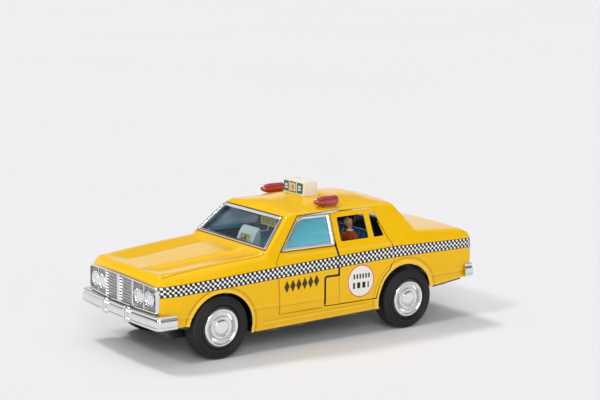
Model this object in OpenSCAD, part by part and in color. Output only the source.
// Friction tin saloon car: pressed tin body on a tin base pan, plated trim,
// an opening rear door with a press tab, and a flywheel friction motor on the rear axle.
// Front faces -Y, the car's left side is +X, the ground is z = 0.

/* [Overall] */
// Length over both bumpers
car_len = 246.5; // [205:0.5:296]
// Half of the body's greatest width
body_half_w = 46.5; // [44:0.5:56]
// Distance between the axles
wheelbase = 142; // [136:1:171]
// Front axle, behind the front of the bumper
front_overhang = 47.5; // [44:0.5:52]
// Height of the roof's crown above the ground
roof_top = 87.2; // [82:0.2:105]

/* [Sheet metal] */
// Thickness of the pressed body sheet
sheet = 0.8; // [0.6:0.1:1.2]
// Thickness of the base pan
pan_t = 0.9; // [0.6:0.1:1.4]
// Gap round the opening door
door_gap = 0.6; // [0.5:0.1:1.0]
// Radial running clearance of shafts in their bores
run_gap = 0.05; // [0.02:0.01:0.09]

/* [Wheels] */
// Outer radius of the tyre
tyre_r = 19.5; // [18:0.25:20.5]
// Width of the tyre
tyre_w = 12; // [9:0.5:13]
// Radius of the wheel hub inside the tyre
hub_r = 12.4; // [11:0.1:13.5]
// Radius of the plated hub cap
cap_r = 11.6; // [10:0.1:12]
// How far the hub cap's dome stands proud of the tyre
cap_rise = 0.9; // [0.4:0.1:1.5]
// Radius of both axles
axle_r = 1.5; // [1.2:0.1:2]
// Outer face of the tyre, inside the body's side
wheel_inset = 0.9; // [0.4:0.1:3]

/* [Friction motor] */
// Gear module
gear_m = 0.8; // [0.7:0.05:0.9]
// Teeth on the large gears
big_teeth = 30; // [26:1:32]
// Teeth on the pinions
small_teeth = 10; // [10:1:12]
// Backlash taken off each tooth's thickness
backlash = 0.22; // [0.15:0.01:0.3]
// Width of the gears' faces
gear_w = 3.2; // [2.5:0.1:4]
// Radius of the flywheel
flywheel_r = 12.4; // [10:0.2:13]
// Thickness of the flywheel
flywheel_w = 8; // [5:0.5:10]
// Radius of the motor's inner shafts
shaft_r = 1.1; // [0.9:0.1:1.4]
// Half of the distance between the motor's side plates
frame_half_w = 14; // [12:0.5:18]

/* [Door] */
// Door front edge, behind the front axle
door_front = 85.75; // [84:0.25:88]
// Length of the press tab ahead of the door's front edge
tab_len = 11; // [8:0.5:13]
// Hinge pin's radius
pin_r = 0.8; // [0.6:0.05:1]
// Hinge knuckle's outer radius
knuckle_r = 1.5; // [1.2:0.05:1.8]

/* [Roof pieces] */
// Width of the roof sign
sign_w = 22.6; // [18:0.2:28]
// Length of the roof sign
sign_l = 11.5; // [9:0.5:16]
// Height of the roof sign
sign_h = 8.6; // [6:0.2:12]
// Length of a roof lamp
lamp_l = 17.5; // [12:0.5:22]
// Radius of a roof lamp
lamp_r = 3.1; // [2.2:0.1:3.6]

/* [Hidden] */

// ---- places along the car ----
y_front = -car_len / 2;
y_back = car_len / 2;
y_nose = y_front + 7.9;
nose_bow = 2.7;
tail_bow = 1.2;
bow_run = 26;
y_tail = y_back - 2;
y_axle_f = y_front + front_overhang;
y_axle_r = y_axle_f + wheelbase;
y_cowl = y_axle_f + 34.75;
y_roof_f = y_cowl + 18.65;
y_roof_r = y_axle_r - 6.25;
y_deck = y_axle_r + 7.75;
y_door = y_axle_f + door_front;
arch_f = [y_axle_f + 0.25, 18.8];
arch_f_r = 21.7;
arch_r = [y_axle_r - 2.75, 21.2];
arch_r_r = 21.5;

// ---- heights ----
crown = 6.7;
z_roof = roof_top - crown;
z_belt = 59.3;
z_cowl = 60.7;
z_header = z_roof - 1.4;
z_deck = 63.6;
x_belt = body_half_w - 4.2;
lean = 0.371;
tilt = atan(lean);

// ---- outline tables: [y, value] at each bend of the body ----
width_line = [[y_nose, body_half_w - 4.9], [y_nose + 3, body_half_w - 3.4],
    [y_nose + 12, body_half_w - 1.5], [y_axle_f, body_half_w - 0.2],
    [y_axle_r, body_half_w], [y_tail - 14, body_half_w - 0.6],
    [y_tail - 4, body_half_w - 1.3], [y_tail - 1.2, body_half_w - 2.6], [y_tail, body_half_w - 5]];
sill_line = [[y_nose, 23], [arch_f[0] - 22, 22.6], [arch_f[0] + 21, 13.6],
    [arch_r[0] - 21, 16], [y_axle_r + 5, 17], [arch_r[0] + 20, 25], [y_tail, 29]];
waist_line = [[y_nose, 43.8], [y_nose + 4, 46.6], [y_cowl + 6, 51.3], [y_door, 53],
    [y_axle_r - 12, 54.6], [y_tail - 4, 54.4], [y_tail, 51]];
shoulder_line = [[y_nose, 45.8], [y_nose + 3.5, 50.4], [y_nose + 12, 51.6], [y_cowl - 4, 57],
    [y_cowl + 2, z_belt], [y_roof_r - 8, z_belt], [y_deck, 62.4], [y_tail - 9, 59.4],
    [y_tail - 3, 56.6], [y_tail, 52.4]];
shoulder_in = [[y_nose, 1.2], [y_nose + 6, 3.6], [y_cowl, 4.2], [y_roof_r, 4.2],
    [y_tail - 9, 3], [y_tail, 1.2]];
edge_line = [[y_nose, 46.8], [y_nose + 1.2, 50.4], [y_nose + 3.8, 53], [y_nose + 12, 54],
    [y_cowl - 3, 59.5], [y_cowl, z_cowl], [y_roof_f, z_header], [y_roof_f + 4, z_roof],
    [y_roof_r, z_roof], [y_deck, z_deck - 0.6], [y_tail - 9, 60.2], [y_tail - 3, 57.6], [y_tail, 53.2]];
edge_in = [[y_nose, 1.6], [y_nose + 5, 4.2], [y_cowl - 3, 4.4], [y_cowl, 0.5],
    [y_roof_r, 0.5], [y_deck, 1.6], [y_tail, 1.6]];
crown_line = [[y_nose, 0], [y_nose + 8, 0.4], [y_cowl - 3, 0.6], [y_cowl, 0.1], [y_roof_f, 0.5],
    [y_roof_f + 9, 3.6], [y_roof_f + 26, 6], [y_roof_f + 45, crown], [y_roof_r - 14, 5.6],
    [y_roof_r, 2.2], [y_deck, 0.6], [y_tail - 9, 1], [y_tail, 0.4]];
relief_line = [[y_nose + 3, 0], [y_nose + 13, 1], [y_cowl - 6, 1], [y_cowl - 1, 0]];
crease_line = [[y_nose + 8, 15.6], [y_cowl, 19.9], [y_tail, 19.9]];
valley_depth = 2.3;
bulge_rise = 1.2;
bulge_run = 3;

// ---- body surface ----
function soft(t, y, w = 2) = (lookup(y - w, t) + 2 * lookup(y - w / 2, t) + 2 * lookup(y, t)
    + 2 * lookup(y + w / 2, t) + lookup(y + w, t)) / 8;
function ease(t) = let (u = max(0, min(1, t))) u * u * (3 - 2 * u);
function half_w(y) = soft(width_line, y, 1.5);
function relief(x, xe, y) = let (xc = lookup(y, crease_line), f = lookup(y, relief_line))
    x > xc ? -valley_depth * f * ease((xe - x) / (xe - xc))
    : -f * (valley_depth - bulge_rise * ease((xc - x) / bulge_run));
function corner(a, c, b, d, n) = let (
    u = c + (a - c) * min(0.45, d / norm(a - c)),
    v = c + (b - c) * min(0.45, d / norm(b - c)))
    [for (i = [0:n]) let (t = i / n) u * (1 - t) * (1 - t) + c * 2 * t * (1 - t) + v * t * t];
function half_section(y, t, drop) = let (
    w = half_w(y) - t,
    zs = lookup(y, sill_line),
    low = [w - 1.2, zs - drop],
    side = [w, zs + 12],
    c3 = [w - 0.3, soft(waist_line, y) - t / 2],
    c4 = [w - soft(shoulder_in, y), soft(shoulder_line, y) - t * 0.8],
    ze = soft(edge_line, y, 1.2) - t,
    c5 = [c4[0] - max(soft(edge_in, y, 1.2), lean * (ze - c4[1])), ze],
    xc = lookup(y, crease_line),
    cr = soft(crown_line, y),
    xs = [c5[0] * 0.88, c5[0] * 0.7, xc, xc - bulge_run, xc * 0.45, 0],
    top = [for (x = xs) [x, ze + cr * (1 - (x / c5[0]) * (x / c5[0])) + relief(x, c5[0], y)]])
    concat([low, side], corner(side, c3, c4, 2.4, 2), corner(c3, c4, c5, 1.6, 1),
        corner(c4, c5, top[0], 2, 2), top);
function ring(y, t, drop) = let (h = half_section(y, t, drop), n = len(h))
    concat(h, [for (i = [n - 2:-1:0]) [-h[i][0], h[i][1]]]);
// How far the nose and tail bow out between their corners, at x
function bow(x, y) = let (u = 1 - pow(x / (body_half_w - 4.9), 2))
    u * (tail_bow * ease((y - y_tail + bow_run) / bow_run)
    - nose_bow * ease((y_nose + bow_run - y) / bow_run));
function steps(a, b, n) = [for (i = [0:n - 1]) a + (b - a) * i / n];
stations = concat(
    [y_nose, y_nose + 0.8, y_nose + 2, y_nose + 4, y_nose + 7],
    steps(y_nose + 12, y_cowl - 6, 4), steps(y_cowl - 6, y_cowl + 3, 5),
    steps(y_cowl + 3, y_roof_f - 2, 2), steps(y_roof_f - 2, y_roof_f + 8, 4),
    steps(y_roof_f + 8, y_roof_r - 3, 6), steps(y_roof_r - 3, y_roof_r + 3, 3),
    steps(y_roof_r + 3, y_deck - 2, 2), steps(y_deck - 2, y_deck + 3, 2),
    steps(y_deck + 3, y_tail - 9, 3),
    [y_tail - 9, y_tail - 5, y_tail - 2.6, y_tail - 1.2, y_tail - 0.4, y_tail]);

// The shell's lower edge as it is built, station by station
pan_line = [for (y = stations) [y, lookup(y, sill_line)]];

// Solid with the body's outer form, inset by t; its underside is lowered by drop
module body_form(t = 0, drop = 0) {
    squeeze = 1 - 2 * t / (y_tail - y_nose);
    middle = (y_nose + y_tail) / 2;
    rings = [for (y = stations) [for (p = ring(y, t, drop))
        [p[0], middle + (y - middle) * squeeze + bow(p[0], y), p[1]]]];
    n = len(rings[0]);
    m = len(rings);
    cap_faces = [for (j = [0:(n - 3) / 2]) each j + 1 == n - 2 - j ? [[n - 1 - j, j + 1, j]]
        : [[n - 2 - j, j + 1, j], [n - 1 - j, n - 2 - j, j]]];
    walls = [for (i = [0:m - 2], j = [0:n - 1]) let (k = (j + 1) % n)
        [i * n + j, i * n + k, (i + 1) * n + k, (i + 1) * n + j]];
    split = [for (q = walls) each [[q[0], q[1], q[2]], [q[0], q[2], q[3]]]];
    back_cap = [for (f = cap_faces) [for (i = [2:-1:0]) (m - 1) * n + f[i]]];
    polyhedron(points = [for (r = rings) each r], faces = concat(split, cap_faces, back_cap));
}

module body_skin() {
    difference() {
        body_form();
        body_form(sheet, 4);
    }
}

// ---- placing helpers ----
// Turns a flat outline in (y, z) into a block from x0 to x1
module across(x0, x1) {
    translate([x0, 0, 0]) rotate([90, 0, 90]) linear_extrude(x1 - x0) children();
}

// Lays an outline in (y, distance up the slope) on the side windows' plane
module on_side(side) {
    mirror([side < 0 ? 1 : 0, 0, 0])
        translate([x_belt, 0, z_belt]) rotate([0, -tilt, 0]) rotate([90, 0, 90]) children();
}
function up_side(z) = (z - z_belt) / cos(tilt);

screen_angle = atan2(z_header - z_cowl, y_roof_f - y_cowl);
screen_len = norm([z_header - z_cowl, y_roof_f - y_cowl]);
module on_screen() {
    translate([0, y_cowl, z_cowl]) rotate([screen_angle, 0, 0]) children();
}

back_angle = atan2(z_roof + 0.6 - z_deck, y_deck - y_roof_r);
back_len = norm([z_roof + 0.6 - z_deck, y_deck - y_roof_r]);
module on_backlight() {
    translate([0, y_deck, z_deck]) rotate([0, 0, 180]) rotate([back_angle, 0, 0]) children();
}

// Outline with rounded corners through the given points
module rounded(points, r) {
    hull() for (p = inset(points, r)) translate(p) circle(r, $fn = 20);
}

// ---- openings shared by the shell, the glass and the frames ----
side_top = up_side(z_roof - 1.6);
side_low = 0.4;
window_front = y_cowl + 9.5;
window_rake = 17;
window_back = y_door - 1.2;
front_window = [[window_front, side_low], [window_front + window_rake, side_top],
    [window_back, side_top], [window_back, side_low]];
door_back = y_axle_r - 12;
door_top = z_roof - 0.9;
rear_window_low = up_side(61.4);
rear_window_top = up_side(z_roof - 4.6);
pillar_y = y_axle_r - 28.2;
rear_windows = [
    [[y_door + 4.6, rear_window_low], [y_door + 4.6, rear_window_top],
        [pillar_y - 2.2, rear_window_top + 0.5], [pillar_y - 1.6, rear_window_low + 0.3]],
    [[pillar_y + 2.4, rear_window_low + 0.3], [pillar_y + 1.8, rear_window_top + 0.5],
        [pillar_y + 4.6, rear_window_top], [pillar_y + 10.4, rear_window_low + 0.6]]];
screen_low_w = x_belt - 3;
screen_top_w = x_belt - lean * (z_header - z_belt) - 2.9;
screen_pts = [[-screen_low_w, 0.6], [screen_low_w, 0.6], [screen_top_w, screen_len - 0.8],
    [-screen_top_w, screen_len - 0.8]];
back_low_w = x_belt - 7;
back_top_w = x_belt - lean * (z_roof - z_belt) - 5;
back_pts = [[-back_low_w, 1.4], [back_low_w, 1.4], [back_top_w, back_len - 1.6],
    [-back_top_w, back_len - 1.6]];
function inset(p, d) = let (cx = [for (q = p) q[0]] * [for (q = p) 1] / len(p),
    cy = [for (q = p) q[1]] * [for (q = p) 1] / len(p))
    [for (q = p) [q[0] - d * sign(q[0] - cx), q[1] - d * sign(q[1] - cy)]];

tab_top = 41.9;
door_low = 22.7;
arch_lip = 2;
// Side view of the opening door, shrunk all round by trim
module door_outline(trim) {
    difference() {
        union() {
            hull() for (p = [[y_door, z_belt - 2], [y_door, door_top], [y_axle_r - 22.4, door_top],
                [y_axle_r - 13.2, z_belt - 2]])
                translate([p[0] + (p[0] > pillar_y ? -1.6 : 1) - (p[0] > pillar_y ? trim : -trim),
                    p[1] + (p[1] > 70 ? -1 - trim : 0)]) circle(p[0] > pillar_y ? 1.6 : 1, $fn = 16);
            hull() for (p = [[y_door + trim, tab_top - 4], [y_door + trim, z_belt],
                [door_back - 1 - trim, z_belt - 1], [door_back + 0.2 - trim, 46]])
                translate([p[0] + (p[0] > pillar_y ? -1.4 : 0.6), p[1]])
                    circle(p[0] > pillar_y ? 1.4 : 0.6, $fn = 16);
            hull() for (p = [[y_door, door_low], [y_door, 48], [door_back - 0.4, 46],
                [arch_r[0] - arch_r_r - 1, door_low]])
                translate([p[0] + (p[0] > pillar_y - 4 ? -1.4 - trim : 1.4 + trim),
                    p[1] + 1.4 + (p[1] < 30 ? trim : 0)])
                    circle(1.4, $fn = 16);
            hull() for (u = [y_door - tab_len, y_door + 5], v = [door_low, tab_top])
                translate([u + 1 + trim, v + (v > 30 ? -1 - trim : 1 + trim)]) circle(1, $fn = 16);
        }
        translate(arch_r) circle(arch_r_r + arch_lip + trim, $fn = 72);
    }
}

// ---- body ----
crease_z = 28.7;
groove_r = 0.5;
// Pressed line along the side, from y0 to y1
module side_groove(side, y0, y1, z0, z1) {
    hull() for (p = [[y0, z0], [y1, z1]])
        translate([side * (half_w(p[0]) + groove_r - 0.3), p[0], p[1]]) sphere(groove_r, $fn = 8);
}
module tail_lamp_hole() {
    rounded([[-4.4, -4], [4.4, -4], [4.4, 4], [-4.4, 4]], 1);
}
tail_lamp_x = body_half_w - 9.5;
tail_lamp_z = 43.5;
grille_w = body_half_w - 6.2;
grille_low = 31.4;
grille_top = 47.2;

module body_shell() {
    color("goldenrod") difference() {
        body_skin();
        for (c = [[arch_f, arch_f_r], [arch_r, arch_r_r]])
            translate([0, c[0][0], c[0][1]]) rotate([0, 90, 0])
                cylinder(h = 2 * car_len, r = c[1], center = true, $fn = 96);
        on_screen() linear_extrude(8, center = true) rounded(screen_pts, 0.8);
        on_backlight() linear_extrude(8, center = true) rounded(back_pts, 0.8);
        for (side = [-1, 1])
            on_side(side) linear_extrude(6, center = true) rounded(front_window, 0.8);
        on_side(-1) for (w = rear_windows) linear_extrude(6, center = true) rounded(w, 0.8);
        across(x_belt - 20, body_half_w + 5) door_outline(0);
        for (side = [-1, 1]) {
            lamp_place(side) lamp_foot(slot_gap);
            translate([side * tail_lamp_x, y_tail + 1, tail_lamp_z]) rotate([90, 0, 0])
                linear_extrude(8) tail_lamp_hole();
        }
        translate([0, y_nose + 2, 0]) rotate([90, 0, 0]) linear_extrude(8)
            rounded([[-grille_w + 1, grille_low + 1], [grille_w - 1, grille_low + 1],
                [grille_w - 1, grille_top - 1], [-grille_w + 1, grille_top - 1]], 1);
    }
}

// Black pan closing the underside, following the sill, with a tub between the front wheels
tub_half_w = 30.5;
tub_z = 12.7;
tub_front = y_nose + 14.3;
well_gap = 3;
module pan_plan() {
    ys = steps(y_nose + 1, y_tail - 0.2, 24);
    edge = [for (y = ys) [half_w(y) - 1.3, y]];
    polygon(concat(edge, [for (i = [len(ys) - 1:-1:0]) [-edge[i][0], ys[i]]]));
}
module base_pan() {
    lows = [for (i = [len(pan_line) - 1:-1:0]) pan_line[i] - [0, pan_t]];
    wheel_x = body_half_w - wheel_inset - tyre_w - well_gap + 1;
    color("black") difference() {
        union() {
            intersection() {
                across(-car_len, car_len) polygon(concat(pan_line, lows));
                linear_extrude(60) pan_plan();
            }
            across(-tub_half_w, tub_half_w) polygon([[tub_front - 8, 22.5], [tub_front, tub_z],
                [arch_f[0] + 24, tub_z], [arch_f[0] + 24, 13.6], [arch_f[0] + 21, 13.6],
                [arch_f[0] - 22, 22.6]]);
        }
        across(-tub_half_w + pan_t, tub_half_w - pan_t) polygon([[tub_front - 8.2, 25],
            [tub_front + 0.6, tub_z + pan_t], [arch_f[0] + 22, tub_z + pan_t], [arch_f[0] + 22, 25]]);
        for (side = [-1, 1], y = [y_axle_f, y_axle_r])
            translate([side * (wheel_x + 20), y, tyre_r]) rotate([0, 90, 0])
                cylinder(h = 40, r = tyre_r + well_gap, center = true, $fn = 72);
        across(-motor_hole_w, motor_hole_w) translate([motor_hole_y, 8])
            square([y_axle_r + big_pitch + 4 - motor_hole_y, 32]);
        translate([0, y_axle_f, tyre_r]) rotate([0, 90, 0])
            cylinder(h = 4 * bracket_x, r = axle_r + 0.6, center = true, $fn = 36);
    }
}

// ---- wheels and axles ----
tyre_face = body_half_w - wheel_inset;
axle_end = tyre_face - 4;
hub_in = 0.6;
module wheel_place(side, y) {
    translate([0, y, tyre_r]) mirror([side < 0 ? 1 : 0, 0, 0]) rotate([0, 90, 0]) children();
}
module tyre(side, y) {
    w = tyre_w / 2;
    groove = 0.5;
    color("dimgray") wheel_place(side, y) translate([0, 0, tyre_face - w]) rotate_extrude($fn = 96)
        polygon([[hub_r, -w + hub_in], [hub_r + 0.8, -w], [tyre_r - 3, -w], [tyre_r - 1, -w + 1],
            [tyre_r, -w + 2.6], [tyre_r, -groove], [tyre_r - groove, -groove], [tyre_r - groove, groove],
            [tyre_r, groove], [tyre_r, w - 2.6], [tyre_r - 1, w - 1], [tyre_r - 3, w],
            [hub_r + 0.8, w], [hub_r, w - hub_in]]);
}
module hub(side, y) {
    color("silver") wheel_place(side, y) translate([0, 0, tyre_face - tyre_w + hub_in]) difference() {
        cylinder(h = tyre_w - 2 * hub_in, r = hub_r, $fn = 72);
        translate([0, 0, -1]) cylinder(h = axle_end - tyre_face + tyre_w - hub_in + 1, r = axle_r, $fn = 36);
        translate([0, 0, -0.01]) difference() {
            cylinder(h = 5, r = hub_r - 1.5, $fn = 48);
            translate([0, 0, -1]) cylinder(h = 8, r = axle_r + 2, $fn = 36);
        }
    }
}
module cap(side, y) {
    base = tyre_face - hub_in;
    rise = cap_rise + hub_in;
    color("gainsboro") wheel_place(side, y) translate([0, 0, base]) rotate_extrude($fn = 72)
        polygon([[0, 0], [cap_r, 0], [cap_r, 0.5], [cap_r * 0.93, rise * 0.6], [cap_r * 0.8, rise * 0.9],
            [cap_r * 0.62, rise], [cap_r * 0.5, rise * 0.55], [cap_r * 0.44, rise * 0.6],
            [cap_r * 0.36, rise * 0.95], [0, rise]]);
}
module axle_rod(y) {
    color("silver") translate([0, y, tyre_r]) rotate([0, 90, 0])
        cylinder(h = 2 * axle_end, r = axle_r, center = true, $fn = 36);
}
module front_axle() {
    axle_rod(y_axle_f);
}
bracket_x = 24;
module front_axle_bracket() {
    color("dimgray") difference() {
        union() {
            for (side = [-1, 1])
                across(side * bracket_x - 0.6, side * bracket_x + 0.6)
                    polygon([[y_axle_f - 6, tub_z + pan_t], [y_axle_f + 6, tub_z + pan_t],
                        [y_axle_f + 3.6, tyre_r + 3.4], [y_axle_f - 3.6, tyre_r + 3.4]]);
            across(-bracket_x, bracket_x) polygon([[y_axle_f - 6, tub_z + pan_t],
                [y_axle_f + 6, tub_z + pan_t],
                [y_axle_f + 6, tub_z + pan_t + 0.8], [y_axle_f - 6, tub_z + pan_t + 0.8]]);
        }
        translate([0, y_axle_f, tyre_r]) rotate([0, 90, 0])
            cylinder(h = 80, r = axle_r + run_gap, center = true, $fn = 48);
    }
}

// ---- friction motor ----
pressure_angle = 20;
big_pitch = gear_m * big_teeth / 2;
small_pitch = gear_m * small_teeth / 2;
mesh_dist = big_pitch + small_pitch;
counter_angle = 145;
fly_angle = 165.5;
axle_at = [y_axle_r, tyre_r];
counter_at = axle_at + mesh_dist * [cos(counter_angle), sin(counter_angle)];
fly_at = counter_at + mesh_dist * [cos(fly_angle), sin(fly_angle)];
gear1_x = -10;
gear2_x = gear1_x + gear_w + 1.2;
fly_x = gear2_x + gear_w + 1.6;
motor_hole_w = frame_half_w + 1.6;
motor_hole_y = y_axle_r - 24;

function inv(a) = tan(a) * 180 / PI - a;
function tooth_side(r, rp, n) = let (rb = rp * cos(pressure_angle), q = max(r, rb))
    90 / n - backlash / rp * 90 / PI + inv(pressure_angle) - inv(acos(rb / q));
module gear_outline(n, addendum) {
    rp = gear_m * n / 2;
    radii = [rp - 1.2 * gear_m, rp * cos(pressure_angle) + 0.05, rp, rp + addendum * 0.5, rp + addendum];
    polygon([for (k = [0:n - 1]) each concat(
        [for (r = radii) let (a = 360 * k / n - tooth_side(r, rp, n)) r * [cos(a), sin(a)]],
        [for (i = [len(radii) - 1:-1:0]) let (r = radii[i], a = 360 * k / n + tooth_side(r, rp, n))
            r * [cos(a), sin(a)]])]);
}
module shaft_place(at, turn = 0) {
    translate([0, at[0], at[1]]) rotate([90, 0, 90]) rotate([0, 0, turn]) children();
}
big_addendum = 0.62 * gear_m;
small_addendum = 0.95 * gear_m;
module rear_axle() {
    axle_rod(y_axle_r);
}
module axle_gear() {
    color("khaki") shaft_place(axle_at, counter_angle) translate([0, 0, gear1_x]) difference() {
        union() {
            linear_extrude(gear_w) gear_outline(big_teeth, big_addendum);
            translate([0, 0, -1.5]) cylinder(h = gear_w + 1.5, r = axle_r + 1.8, $fn = 36);
        }
        translate([0, 0, -5]) cylinder(h = gear_w + 10, r = axle_r, $fn = 36);
    }
}
module counter_gear() {
    color("khaki") {
        shaft_place(counter_at, 0) translate([0, 0, -frame_half_w - 1])
            cylinder(h = 2 * frame_half_w + 2, r = shaft_r, $fn = 36);
        shaft_place(counter_at, counter_angle + 180 + 180 / small_teeth) translate([0, 0, gear1_x - 0.4])
            linear_extrude(gear2_x - gear1_x + 0.5) gear_outline(small_teeth, small_addendum);
        shaft_place(counter_at, fly_angle) translate([0, 0, gear2_x])
            linear_extrude(gear_w) gear_outline(big_teeth, big_addendum);
    }
}
module flywheel_shaft() {
    color("silver") {
        shaft_place(fly_at, 0) translate([0, 0, -frame_half_w - 1])
            cylinder(h = 2 * frame_half_w + 2, r = shaft_r, $fn = 36);
        shaft_place(fly_at, fly_angle + 180 + 180 / small_teeth) translate([0, 0, gear2_x - 0.4])
            linear_extrude(gear_w + 0.8) gear_outline(small_teeth, small_addendum);
    }
}
module flywheel() {
    color("slategray") shaft_place(fly_at, 0) translate([0, 0, fly_x]) difference() {
        cylinder(h = flywheel_w, r = flywheel_r, $fn = 72);
        translate([0, 0, -1]) cylinder(h = flywheel_w + 2, r = shaft_r, $fn = 36);
        translate([0, 0, flywheel_w - 1]) difference() {
            cylinder(h = 2, r = flywheel_r - 2, $fn = 60);
            translate([0, 0, -1]) cylinder(h = 4, r = shaft_r + 2.5, $fn = 36);
        }
    }
}
plate_t = 1;
spacer_r = 1.4;
spacer_reach = big_pitch + big_addendum + spacer_r + 1;
plate_front = fly_at[0] - flywheel_r - 6.5;
plate_top = fly_at[1] + flywheel_r + 0.9;
spacer_top = axle_at + spacer_reach * [cos(84), sin(84)];
spacers = [spacer_top, [plate_front + 5.5, fly_at[1] + flywheel_r - 3], [plate_front + 3, 21.5]];
plate_mid = frame_half_w + plate_t / 2;
module motor_plate(side) {
    color("lightgray") difference() {
        across(side * plate_mid - plate_t / 2, side * plate_mid + plate_t / 2)
            polygon([[plate_front, lookup(plate_front, pan_line)], [plate_front, plate_top - 6],
                [plate_front + 3, plate_top], [fly_at[0] + 6, plate_top], spacer_top + [2.6, 3],
                [y_axle_r + 8.5, 29], [y_axle_r + 8.5, 22], [y_axle_r + 4, 15.8], [y_axle_r - 4, 15.8],
                [motor_hole_y, lookup(motor_hole_y, pan_line)]]);
        shaft_place(axle_at) cylinder(h = 60, r = axle_r + run_gap, center = true, $fn = 48);
        for (p = [counter_at, fly_at])
            shaft_place(p) cylinder(h = 60, r = shaft_r + run_gap, center = true, $fn = 48);
    }
}
module motor_spacers() {
    color("silver") for (p = spacers) shaft_place(p)
        cylinder(h = 2 * frame_half_w, r = spacer_r, center = true, $fn = 24);
}

// ---- glass and plated window frames ----
glass_t = 0.8;
glass_in = 1;
frame_rise = 0.9;
screen_rise = 1.5;
frame_w = 1.9;
bar_low = up_side(z_roof - 0.5);
bar_w = 1;
bar_reach = 6.4;
module glass(points) {
    translate([0, 0, -glass_in - glass_t]) linear_extrude(glass_t) rounded(inset(points, 0.3), 0.8);
}
module frame_ring(points, rise) {
    translate([0, 0, -glass_in]) linear_extrude(glass_in + rise) difference() {
        rounded(points, 0.8);
        rounded(inset(points, frame_w), 0.8);
    }
}
module windshield() {
    color("slategray", 0.5) on_screen() glass(screen_pts);
}
module windshield_frame() {
    color("silver") on_screen() frame_ring(screen_pts, screen_rise);
}
module rear_window() {
    color("slategray", 0.5) on_backlight() glass(back_pts);
}
module rear_window_frame() {
    color("silver") on_backlight() frame_ring(back_pts, screen_rise);
}
module front_window(side) {
    color("lightskyblue", 0.6) on_side(side) glass(front_window);
}
module window_frame(side) {
    color("silver") on_side(side) {
        frame_ring(front_window, frame_rise);
        linear_extrude(frame_rise) polygon([[window_front + window_rake, side_top - 0.5],
            [window_back - 1, side_top - 0.5], [window_back, bar_low], [y_door + bar_reach, bar_low],
            [y_door + bar_reach, bar_low + bar_w], [window_front + window_rake, bar_low + bar_w]]);
    }
}

// ---- plated front and rear trim ----
grille_t = 1.6;
slot_w = 13.1;
lamp_face_r = 4.9;
function nose_y(x) = y_nose + bow(x, y_nose);
module grille() {
    n = 16;
    edge = grille_w + 0.6;
    xs = [for (i = [-n:n]) edge * i / n];
    color("gainsboro") {
        difference() {
            intersection() {
                linear_extrude(60) polygon(concat([for (x = xs) [x, nose_y(x)]],
                    [for (i = [2 * n:-1:0]) [xs[i], nose_y(xs[i]) - grille_t]]));
                translate([0, y_nose + 5, 0]) rotate([90, 0, 0]) linear_extrude(20)
                    polygon([[-edge + 1.2, grille_low], [edge - 1.2, grille_low], [edge, grille_top - 2],
                        [edge - 2, grille_top + 0.6], [15, grille_top + 2], [-15, grille_top + 2],
                        [-edge + 2, grille_top + 0.6], [-edge, grille_top - 2]]);
            }
            for (side = [-1, 1]) {
                for (k = [0:5])
                    translate([side * (1.4 + slot_w / 2) - slot_w / 2, y_nose - nose_bow - grille_t - 1,
                        grille_low + 1.9 + 2 * k]) cube([slot_w, 1.9, 1]);
                translate([side * 27.6, nose_y(27.6) - grille_t - 0.8, (grille_low + grille_top) / 2])
                    rotate([0, 0, side * 7.5]) cube([22.4, 3.2, 11.6], center = true);
            }
        }
        for (side = [-1, 1], k = [0, 1]) let (x = side * (22.4 + 10.6 * k))
            translate([x, nose_y(x), (grille_low + grille_top) / 2]) rotate([90, 0, 0]) difference() {
                cylinder(h = grille_t, r = lamp_face_r, $fn = 48);
                translate([0, 0, 1.1]) cylinder(h = 2, r = lamp_face_r - 0.8, $fn = 48);
            }
    }
}

bumper_t = 1.1;
bumper_half_w = body_half_w + 0.9;
// Plan of a wrap-round bumper: bowed front, rounded corners, arms back to arm_y
function bumper_plan(front, bow_by, arm_y, d, s) = let (w = bumper_half_w - d, n = 8,
    half = concat([for (i = [0:n]) let (u = i / n) [(w - 3.5) * u, front + s * (d + bow_by * u * u)]],
        [[w - 1.2, front + s * (d + bow_by + 0.9)], [w, front + s * (d + bow_by + 2.6)], [w, arm_y]]))
    concat([for (i = [len(half) - 1:-1:1]) [-half[i][0], half[i][1]]], half);
module bumper_wall(front, bow_by, arm_y, s) {
    difference() {
        polygon(bumper_plan(front, bow_by, arm_y, 0, s));
        polygon(bumper_plan(front, bow_by, arm_y + s, bumper_t * 0.8, s));
    }
}
front_bumper_z = 22.9;
front_bumper_h = 8.3;
rear_bumper_z = 28.6;
rear_bumper_h = 8.6;
rider_x = 13.3;
module overriders(front, s, z, h) {
    for (side = [-1, 1]) translate([side * rider_x, front, z]) difference() {
        linear_extrude(h) polygon([[-1.9, s * 2.2], [-1.6, s * 0.3], [-0.8, 0],
            [0.8, 0], [1.6, s * 0.3], [1.9, s * 2.2]]);
        translate([-0.5, s * 0.6 - 0.5 * s - 0.5, -1]) cube([1, 1, h + 2]);
    }
}
module front_bumper() {
    skin = y_front + 0.9;
    color("gainsboro") difference() {
        union() {
            translate([0, 0, front_bumper_z]) linear_extrude(front_bumper_h)
                bumper_wall(skin, 2, y_nose + 8.6, 1);
            translate([0, 0, front_bumper_z + front_bumper_h - 1]) linear_extrude(1) difference() {
                polygon(bumper_plan(skin, 2, y_nose + 4, 0, 1));
                translate([0, 0.05]) nose_plan();
            }
            overriders(y_front, 1, front_bumper_z - 0.6, front_bumper_h + 1.2);
        }
        linear_extrude(60) nose_plan();
    }
}
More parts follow.
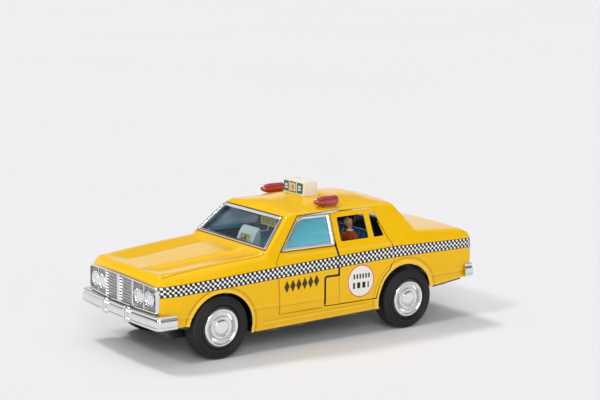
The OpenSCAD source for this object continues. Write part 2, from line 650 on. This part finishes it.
// Plan of the nose with the grille on it, grown by a hair
module nose_plan() {
    ys = concat([y_nose, y_nose + 0.6], steps(y_nose + 1.2, y_nose + 14, 8));
    side = [for (y = ys) [half_w(y) + 0.1, y]];
    front = [for (i = [-8:8]) let (x = side[0][0] * i / 8) [x, nose_y(x) - grille_t - 0.05]];
    polygon(concat(front, side, [for (i = [len(side) - 1:-1:0]) [-side[i][0], side[i][1]]]));
}
module tail_plan() {
    ys = steps(y_tail - 16, y_tail - 1, 12);
    side = [for (y = concat(ys, [y_tail - 1, y_tail])) [half_w(y) + 0.1, y]];
    last = side[len(side) - 1][0];
    back = [for (i = [8:-1:-8]) let (x = last * i / 8) [x, y_tail + bow(x, y_tail) + 0.05]];
    polygon(concat(side, back, [for (i = [len(side) - 1:-1:0]) [-side[i][0], side[i][1]]]));
}
module rear_bumper() {
    skin = y_back - 0.3;
    color("gainsboro") difference() {
        union() {
            translate([0, 0, rear_bumper_z]) linear_extrude(rear_bumper_h)
                bumper_wall(skin, 1.2, y_tail - 8, -1);
            overriders(y_back, -1, rear_bumper_z - 0.5, rear_bumper_h + 1);
        }
        linear_extrude(60) tail_plan();
    }
}
module tail_lamps() {
    color("firebrick") for (side = [-1, 1])
        translate([side * tail_lamp_x, y_tail + bow(tail_lamp_x, y_tail) + 0.9, tail_lamp_z])
            rotate([90, 0, 0]) linear_extrude(2.2) offset(delta = -0.15) tail_lamp_hole();
}

// ---- roof pieces ----
roof_half_w = x_belt - lean * (z_roof - z_belt);
function roof_z(x, y) = z_roof + soft(crown_line, y) * (1 - pow(x / roof_half_w, 2));
sign_y = y_axle_f + 82.6;
sign_low = roof_z(0, sign_y + sign_l / 2) - 0.2;
sign_skirt = 1.4;
lamp_x = 29.5;
lamp_y = sign_y - 5.2;
lamp_slope = atan(2 * crown * lamp_x / pow(roof_half_w, 2));
lamp_z = roof_z(lamp_x, lamp_y + lamp_l) + lamp_r / cos(lamp_slope) + 0.05;
foot_w = 1.8;
foot_l = lamp_l - 9;
foot_low = lamp_r + 1.6;
slot_gap = 0.1;
// Flat foot under a lamp, grown by gap, in the lamp's own frame
module lamp_foot(gap) {
    translate([-foot_w / 2 - gap, -foot_low, 2 - gap]) cube([foot_w + 2 * gap, 2.6, foot_l + 2 * gap]);
}
module lamp_place(side) {
    translate([side * lamp_x, lamp_y + lamp_l, lamp_z]) rotate([90, 0, 0]) children();
}
// Block with the roof's curved top under the sign
module roof_block() {
    rise = atan((roof_z(0, sign_y + sign_l) - roof_z(0, sign_y)) / sign_l);
    arc = [for (x = [-roof_half_w:2:roof_half_w]) [x, roof_z(x, sign_y) - roof_z(0, sign_y)]];
    translate([0, sign_y, roof_z(0, sign_y)]) rotate([rise + 90, 0, 0])
        linear_extrude(4 * sign_l, center = true)
            polygon(concat([[roof_half_w, -2 * crown], [-roof_half_w, -2 * crown]], arc));
}
module roof_sign() {
    draft = 0.7;
    color("ivory") difference() {
        translate([0, sign_y, sign_low]) hull() {
            for (x = [-1, 1], y = [0, 1]) {
                translate([x * (sign_w / 2 - 1), y * (sign_l - 2) + 1, -sign_skirt])
                    cylinder(h = 0.1, r = 1, $fn = 20);
                translate([x * (sign_w / 2 - 1 - draft), y * (sign_l - 2 - draft) + 1 + draft / 2,
                    sign_h - 0.6])
                    cylinder(h = 0.6, r = 0.8, $fn = 20);
            }
        }
        translate([-sign_w / 2 + 2, sign_y + 2, sign_low - 2])
            cube([sign_w - 4, sign_l - 4.2, sign_h + 0.4]);
        roof_block();
    }
}
module sign_label() {
    color("darkgreen") translate([0, sign_y - 0.08, sign_low + 0.7]) rotate([-3, 0, 0])
        for (k = [-1:1]) translate([k * 6.9 - 3.2, -0.3, 0]) cube([6.4, 0.3, sign_h - 2]);
}
module roof_lamp(side) {
    color("firebrick") lamp_place(side) union() {
        rotate_extrude($fn = 48) polygon(concat(
            [[0, 0], [lamp_r - 0.5, 0], [lamp_r, 0.6], [lamp_r, lamp_l - 8]],
            [for (a = [15:15:75]) [lamp_r * cos(a), lamp_l - 8 + 8 * pow(sin(a), 0.85)]], [[0, lamp_l]]));
        lamp_foot(0);
    }
}

// ---- inside the cabin ----
tray_half_w = 38;
tray_z = 47.2;
tray_back = y_axle_r - 16;
module interior_tray() {
    color("lightskyblue") {
        translate([-tray_half_w, y_cowl + 1, tray_z]) cube([2 * tray_half_w, tray_back - y_cowl - 1, sheet]);
        for (side = [-1, 1])
            translate([side * tray_half_w - (side > 0 ? sheet : 0), y_cowl + 1, tray_z - 3.4]) cube([sheet, tray_back - y_cowl - 1, 4.2]);
        for (side = [-1, 1], y = [y_cowl + 2, tray_back - sheet])
            let (low = max(lookup(y, pan_line), lookup(y + sheet, pan_line)))
                translate([side * 24 - 3, y, low]) cube([6, sheet, tray_z + 0.4 - low]);
    }
}
seat_half_w = 32;
module bench(y, back_h, depth) {
    z = tray_z + sheet;
    translate([-seat_half_w, y, z]) cube([2 * seat_half_w, depth, 5]);
    across(-seat_half_w, seat_half_w) polygon([[y + depth, z], [y + depth + 3, z],
        [y + depth + 6, z + back_h], [y + depth + 2.6, z + back_h], [y + depth, z + 5]]);
}
module front_seat() {
    color("lightskyblue") bench(y_door - 28, 15, 14);
}
module rear_seat() {
    color("royalblue") bench(y_axle_r - 38, 15, 14);
}
module passenger() {
    base = tray_z + sheet + 5.05;
    translate([22, y_axle_r - 30, base]) {
        color("darkorange") hull() {
            for (x = [-6, 6]) translate([x, 0, 8.4]) sphere(2.4, $fn = 20);
            for (x = [-4.6, 4.6]) translate([x, 0.6, 2.6]) sphere(2.6, $fn = 20);
        }
        color("peachpuff") translate([0, -0.4, 8]) cylinder(h = 5, r = 1.8, $fn = 24);
        color("peachpuff") translate([0, -0.6, 15.4]) sphere(3.9, $fn = 28);
        color("saddlebrown") translate([0, 0.6, 16.4]) sphere(4, $fn = 28);
    }
}
module dashboard() {
    color("dimgray") across(-tray_half_w + 1, tray_half_w - 1)
        polygon([[y_cowl + 2, tray_z + sheet], [y_cowl + 3, tray_z + sheet], [y_cowl + 8.2, z_cowl - 5],
            [y_cowl + 9, z_cowl - 2.4], [y_cowl + 3.4, z_cowl - 1.8], [y_cowl + 2, z_cowl - 4]]);
}
meter_y = y_cowl + 7.4;
meter_z = z_cowl - 1.6;
module fare_meter() {
    color("lightblue") translate([6, meter_y, meter_z - 0.8]) difference() {
        rotate([90, 0, 90]) translate([0, 0, -9]) linear_extrude(18)
            polygon([[-1.6, 0.4], [6, 0.05], [6, 11.2], [4.6, 11.2], [1.2, 7.4]]);
        translate([-5.4, -2.4, 1.8]) cube([10.8, 3, 3.6]);
    }
}
module meter_flag() {
    arm = 8;
    color("yellowgreen") translate([12, meter_y + 6, meter_z + 7.8]) {
        translate([-0.6, 0, 0]) cube([1.2, arm, 0.6]);
        translate([-0.6, arm - 0.6, 0]) cube([1.2, 0.6, 3.2]);
        translate([-8.5, arm - 0.6, 3]) cube([17, 0.6, 5.4]);
    }
}
tab_y = [y_axle_f + 20 + 18, y_axle_f + 57, y_door + 14, y_axle_r + 31];
module body_tabs() {
    color("goldenrod") for (side = [-1, 1], y = tab_y) 
        let (z = min(lookup(y - 2, pan_line), lookup(y + 2, pan_line)) - pan_t)
        translate([side * (half_w(y) - 4.4) - 2, y - 2, z - 0.52]) cube([4, 4, 0.5]);
}

// ---- opening door ----
hinge_x = body_half_w - 3.3;
hinge_y = y_door + 3;
knuckle_z = [42.3, 44.8, 45.1, 50.1, 50.4, 52.9];
strap_t = 1.1;
module door_rear_left() {
    color("goldenrod") difference() {
        intersection() {
            body_skin();
            across(x_belt - 20, body_half_w + 5) door_outline(door_gap);
        }
        on_side(1) for (w = rear_windows) linear_extrude(6, center = true) rounded(w, 0.8);
        side_groove(1, y_door + 1, door_back - 13.6, crease_z + 0.4, crease_z + 0.8);
        side_groove(1, y_door - tab_len + 1.8, y_door - 1, crease_z, crease_z + 0.3);
    }
}
module knuckle(z0, z1, bore) {
    translate([hinge_x, hinge_y, z0]) difference() {
        cylinder(h = z1 - z0, r = knuckle_r, $fn = 36);
        translate([0, 0, -1]) cylinder(h = z1 - z0 + 2, r = bore, $fn = 36);
    }
}
module bored(bore) {
    difference() {
        children();
        translate([hinge_x, hinge_y, 0]) cylinder(h = 90, r = bore, $fn = 36);
    }
}
module door_hinge_leaf() {
    z = knuckle_z[2];
    h = knuckle_z[3] - z;
    color("silver") bored(pin_r + run_gap) union() {
        translate([hinge_x, hinge_y, z]) cylinder(h = h, r = knuckle_r, $fn = 36);
        translate([hinge_x + knuckle_r - strap_t, hinge_y, z]) cube([strap_t, 9, h]);
        translate([hinge_x + knuckle_r - 0.1, hinge_y + 4, z])
            cube([half_w(hinge_y + 4) - 0.32 - sheet - hinge_x - knuckle_r + 0.1, 5, h]);
    }
}
module door_hinge_bracket() {
    color("silver") bored(pin_r) union() {
        for (k = [0, 4]) translate([0, 0, knuckle_z[k]]) {
            translate([hinge_x, hinge_y, 0]) cylinder(h = 2.5, r = knuckle_r, $fn = 36);
            translate([tray_half_w, hinge_y - knuckle_r, 0])
                cube([hinge_x - tray_half_w, 2 * knuckle_r, 2.5]);
        }
        translate([tray_half_w, hinge_y - 4, knuckle_z[0]]) cube([1, 8, knuckle_z[5] - knuckle_z[0]]);
    }
}
pin_low = 37.7;
module door_hinge_pin() {
    color("silver") translate([hinge_x, hinge_y, pin_low]) {
        cylinder(h = knuckle_z[5] + 0.5 - pin_low, r = pin_r, $fn = 36);
        cylinder(h = 0.5, r = pin_r + 0.4, $fn = 36);
    }
}
spring_wire = 0.25;
module door_spring() {
    color("silver") for (k = [0:5]) translate([hinge_x, hinge_y, pin_low + 0.9 + 0.6 * k])
        rotate_extrude($fn = 36) translate([pin_r + 0.05 + spring_wire, 0]) circle(spring_wire, $fn = 16);
}

body_shell();
base_pan();
grille();
front_bumper();
rear_bumper();
tail_lamps();
windshield();
windshield_frame();
rear_window();
rear_window_frame();
front_window(1);  // front_window_left
front_window(-1);  // front_window_right
window_frame(1);  // window_frame_left
window_frame(-1);  // window_frame_right
roof_sign();
sign_label();
roof_lamp(1);  // roof_lamp_left
roof_lamp(-1);  // roof_lamp_right
interior_tray();
front_seat();
rear_seat();
passenger();
fare_meter();
meter_flag();
dashboard();
body_tabs();
door_rear_left();
door_hinge_leaf();
door_hinge_bracket();
door_hinge_pin();
door_spring();
front_axle();
front_axle_bracket();
tyre(1, y_axle_f);  // tyre_front_left
tyre(-1, y_axle_f);  // tyre_front_right
tyre(1, y_axle_r);  // tyre_rear_left
tyre(-1, y_axle_r);  // tyre_rear_right
hub(1, y_axle_f);  // hub_front_left
hub(-1, y_axle_f);  // hub_front_right
hub(1, y_axle_r);  // hub_rear_left
hub(-1, y_axle_r);  // hub_rear_right
cap(1, y_axle_f);  // cap_front_left
cap(-1, y_axle_f);  // cap_front_right
cap(1, y_axle_r);  // cap_rear_left
cap(-1, y_axle_r);  // cap_rear_right
rear_axle();
axle_gear();
counter_gear();
flywheel_shaft();
flywheel();
motor_plate(1);  // motor_plate_left
motor_plate(-1);  // motor_plate_right
motor_spacers();
